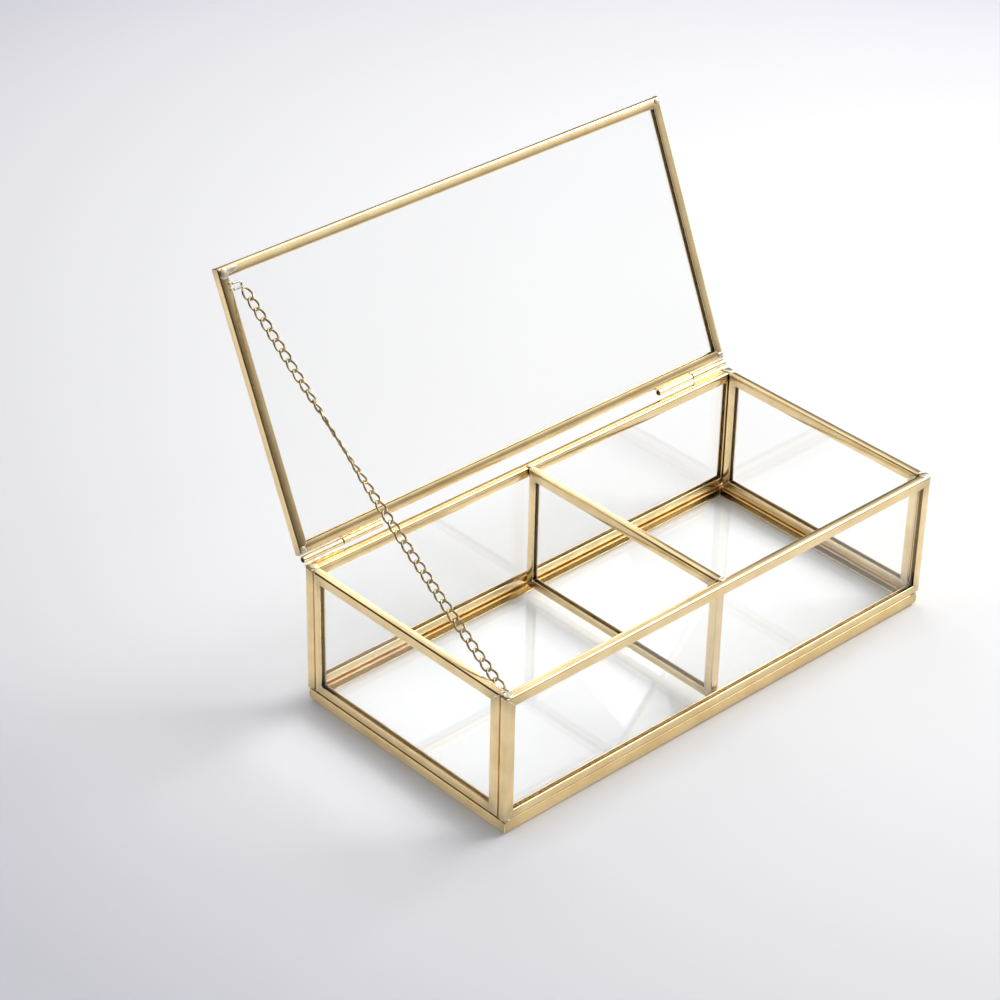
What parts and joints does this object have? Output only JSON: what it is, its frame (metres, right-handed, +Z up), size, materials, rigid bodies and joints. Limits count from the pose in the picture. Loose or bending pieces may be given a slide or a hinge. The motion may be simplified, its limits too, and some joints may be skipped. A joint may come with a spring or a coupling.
{
  "type": "jewelry box",
  "caption": "Open glass jewelry box edged in brass channel, with two compartments, a hinged glass lid and a side stay chain.",
  "frame": {"origin": "under the middle of the open box's bounding box, on the surface that it stands on", "axes": "+X along the long side towards the larger compartment, +Y from the front to the hinged back, +Z up"},
  "size_m": [0.2, 0.1438, 0.1473],
  "materials": {
    "channel_brass": "satin polished brass channel",
    "chain_brass": "aged brass wire",
    "hinge_wire": "tinned wire",
    "glass": "clear float glass",
    "base_glass": "clear float glass"
  },
  "bodies": {
    "box": {"back_panel_bottom_rail": "channel_brass", "back_panel_glass": "glass", "back_panel_left_rail": "channel_brass", "back_panel_right_rail": "channel_brass", "back_panel_top_rail": "channel_brass", "base_front_rail": "channel_brass", "base_glass": "base_glass", "base_left_rail": "channel_brass", "base_rear_rail": "channel_brass", "base_right_rail": "channel_brass", "box_chain_eye": "chain_brass", "divider_bottom_rail": "channel_brass", "divider_front_rail": "channel_brass", "divider_glass": "glass", "divider_rear_rail": "channel_brass", "divider_top_rail": "channel_brass", "front_panel_bottom_rail": "channel_brass", "front_panel_glass": "glass", "front_panel_left_rail": "channel_brass", "front_panel_right_rail": "channel_brass", "front_panel_top_rail": "channel_brass", "left_box_knuckle": "channel_brass", "left_hinge_pin": "hinge_wire", "left_panel_bottom_rail": "channel_brass", "left_panel_front_rail": "channel_brass", "left_panel_glass": "glass", "left_panel_rear_rail": "channel_brass", "left_panel_top_rail": "channel_brass", "right_box_knuckle": "channel_brass", "right_hinge_pin": "hinge_wire", "right_panel_bottom_rail": "channel_brass", "right_panel_front_rail": "channel_brass", "right_panel_glass": "glass", "right_panel_rear_rail": "channel_brass", "right_panel_top_rail": "channel_brass"},
    "lid": {"left_lid_knuckle": "channel_brass", "lid_chain_eye": "chain_brass", "lid_front_rail": "channel_brass", "lid_glass": "glass", "lid_left_rail": "channel_brass", "lid_rear_rail": "channel_brass", "lid_right_rail": "channel_brass", "right_lid_knuckle": "channel_brass"},
    "box_chain_1": {"box_chain_1": "chain_brass"},
    "box_chain_2": {"box_chain_2": "chain_brass"},
    "box_chain_3": {"box_chain_3": "chain_brass"},
    "box_chain_4": {"box_chain_4": "chain_brass"},
    "box_chain_5": {"box_chain_5": "chain_brass"},
    "lid_chain_1": {"lid_chain_1": "chain_brass"},
    "lid_chain_2": {"lid_chain_2": "chain_brass"},
    "lid_chain_3": {"lid_chain_3": "chain_brass"},
    "lid_chain_4": {"lid_chain_4": "chain_brass"},
    "lid_chain_5": {"lid_chain_5": "chain_brass"}
  },
  "joints": [
    {"name": "lid_hinge", "type": "hinge", "parent": "box", "child": "lid", "pos_m": [0, 0.02854, 0.05545], "axis": [1, 0, 0], "range_deg": [0, 113.85]},
    {"name": "box_chain_1_turn", "type": "hinge", "parent": "box", "child": "box_chain_1", "pos_m": [-0.0941, -0.06311, 0.0508], "axis": [1, 0, 0], "range_deg": [-104.75, 0.5]},
    {"name": "box_chain_2_turn", "type": "hinge", "parent": "box_chain_1", "child": "box_chain_2", "pos_m": [-0.09394, -0.05039, 0.05883], "axis": [1, 0, 0], "range_deg": [-5.11, 0.5]},
    {"name": "box_chain_3_turn", "type": "hinge", "parent": "box_chain_2", "child": "box_chain_3", "pos_m": [-0.09378, -0.03767, 0.06705], "axis": [1, 0, 0], "range_deg": [-0.5, 30.89]},
    {"name": "box_chain_4_turn", "type": "hinge", "parent": "box_chain_3", "child": "box_chain_4", "pos_m": [-0.09362, -0.02494, 0.07546], "axis": [1, 0, 0], "range_deg": [-0.5, 31.9]},
    {"name": "box_chain_5_turn", "type": "hinge", "parent": "box_chain_4", "child": "box_chain_5", "pos_m": [-0.09346, -0.01222, 0.08406], "axis": [1, 0, 0], "range_deg": [-0.5, 10.91]},
    {"name": "lid_chain_1_turn", "type": "hinge", "parent": "lid", "child": "lid_chain_1", "pos_m": [-0.0925, 0.0641, 0.13972], "axis": [1, 0, 0], "range_deg": [-16.84, 0.5]},
    {"name": "lid_chain_2_turn", "type": "hinge", "parent": "lid_chain_1", "child": "lid_chain_2", "pos_m": [-0.09266, 0.05138, 0.12996], "axis": [1, 0, 0], "range_deg": [-26.95, 0.5]},
    {"name": "lid_chain_3_turn", "type": "hinge", "parent": "lid_chain_2", "child": "lid_chain_3", "pos_m": [-0.09282, 0.03866, 0.1204], "axis": [1, 0, 0], "range_deg": [-0.5, 15.06]},
    {"name": "lid_chain_4_turn", "type": "hinge", "parent": "lid_chain_3", "child": "lid_chain_4", "pos_m": [-0.09298, 0.02594, 0.11103], "axis": [1, 0, 0], "range_deg": [-0.5, 41.06]},
    {"name": "lid_chain_5_turn", "type": "hinge", "parent": "lid_chain_4", "child": "lid_chain_5", "pos_m": [-0.09314, 0.01322, 0.10185], "axis": [1, 0, 0], "range_deg": [-0.5, 16.07]}
  ],
  "couplings": [
    {"joint": "box_chain_1_turn", "follows": "lid_hinge", "ratio": -0.91572},
    {"joint": "box_chain_2_turn", "follows": "lid_hinge", "ratio": -0.04053},
    {"joint": "box_chain_3_turn", "follows": "lid_hinge", "ratio": 0.26697},
    {"joint": "box_chain_4_turn", "follows": "lid_hinge", "ratio": 0.27582},
    {"joint": "box_chain_5_turn", "follows": "lid_hinge", "ratio": 0.091443},
    {"joint": "lid_chain_1_turn", "follows": "lid_hinge", "ratio": -0.14348},
    {"joint": "lid_chain_2_turn", "follows": "lid_hinge", "ratio": -0.23234},
    {"joint": "lid_chain_3_turn", "follows": "lid_hinge", "ratio": 0.12786},
    {"joint": "lid_chain_4_turn", "follows": "lid_hinge", "ratio": 0.3563},
    {"joint": "lid_chain_5_turn", "follows": "lid_hinge", "ratio": 0.13678}
  ]
}
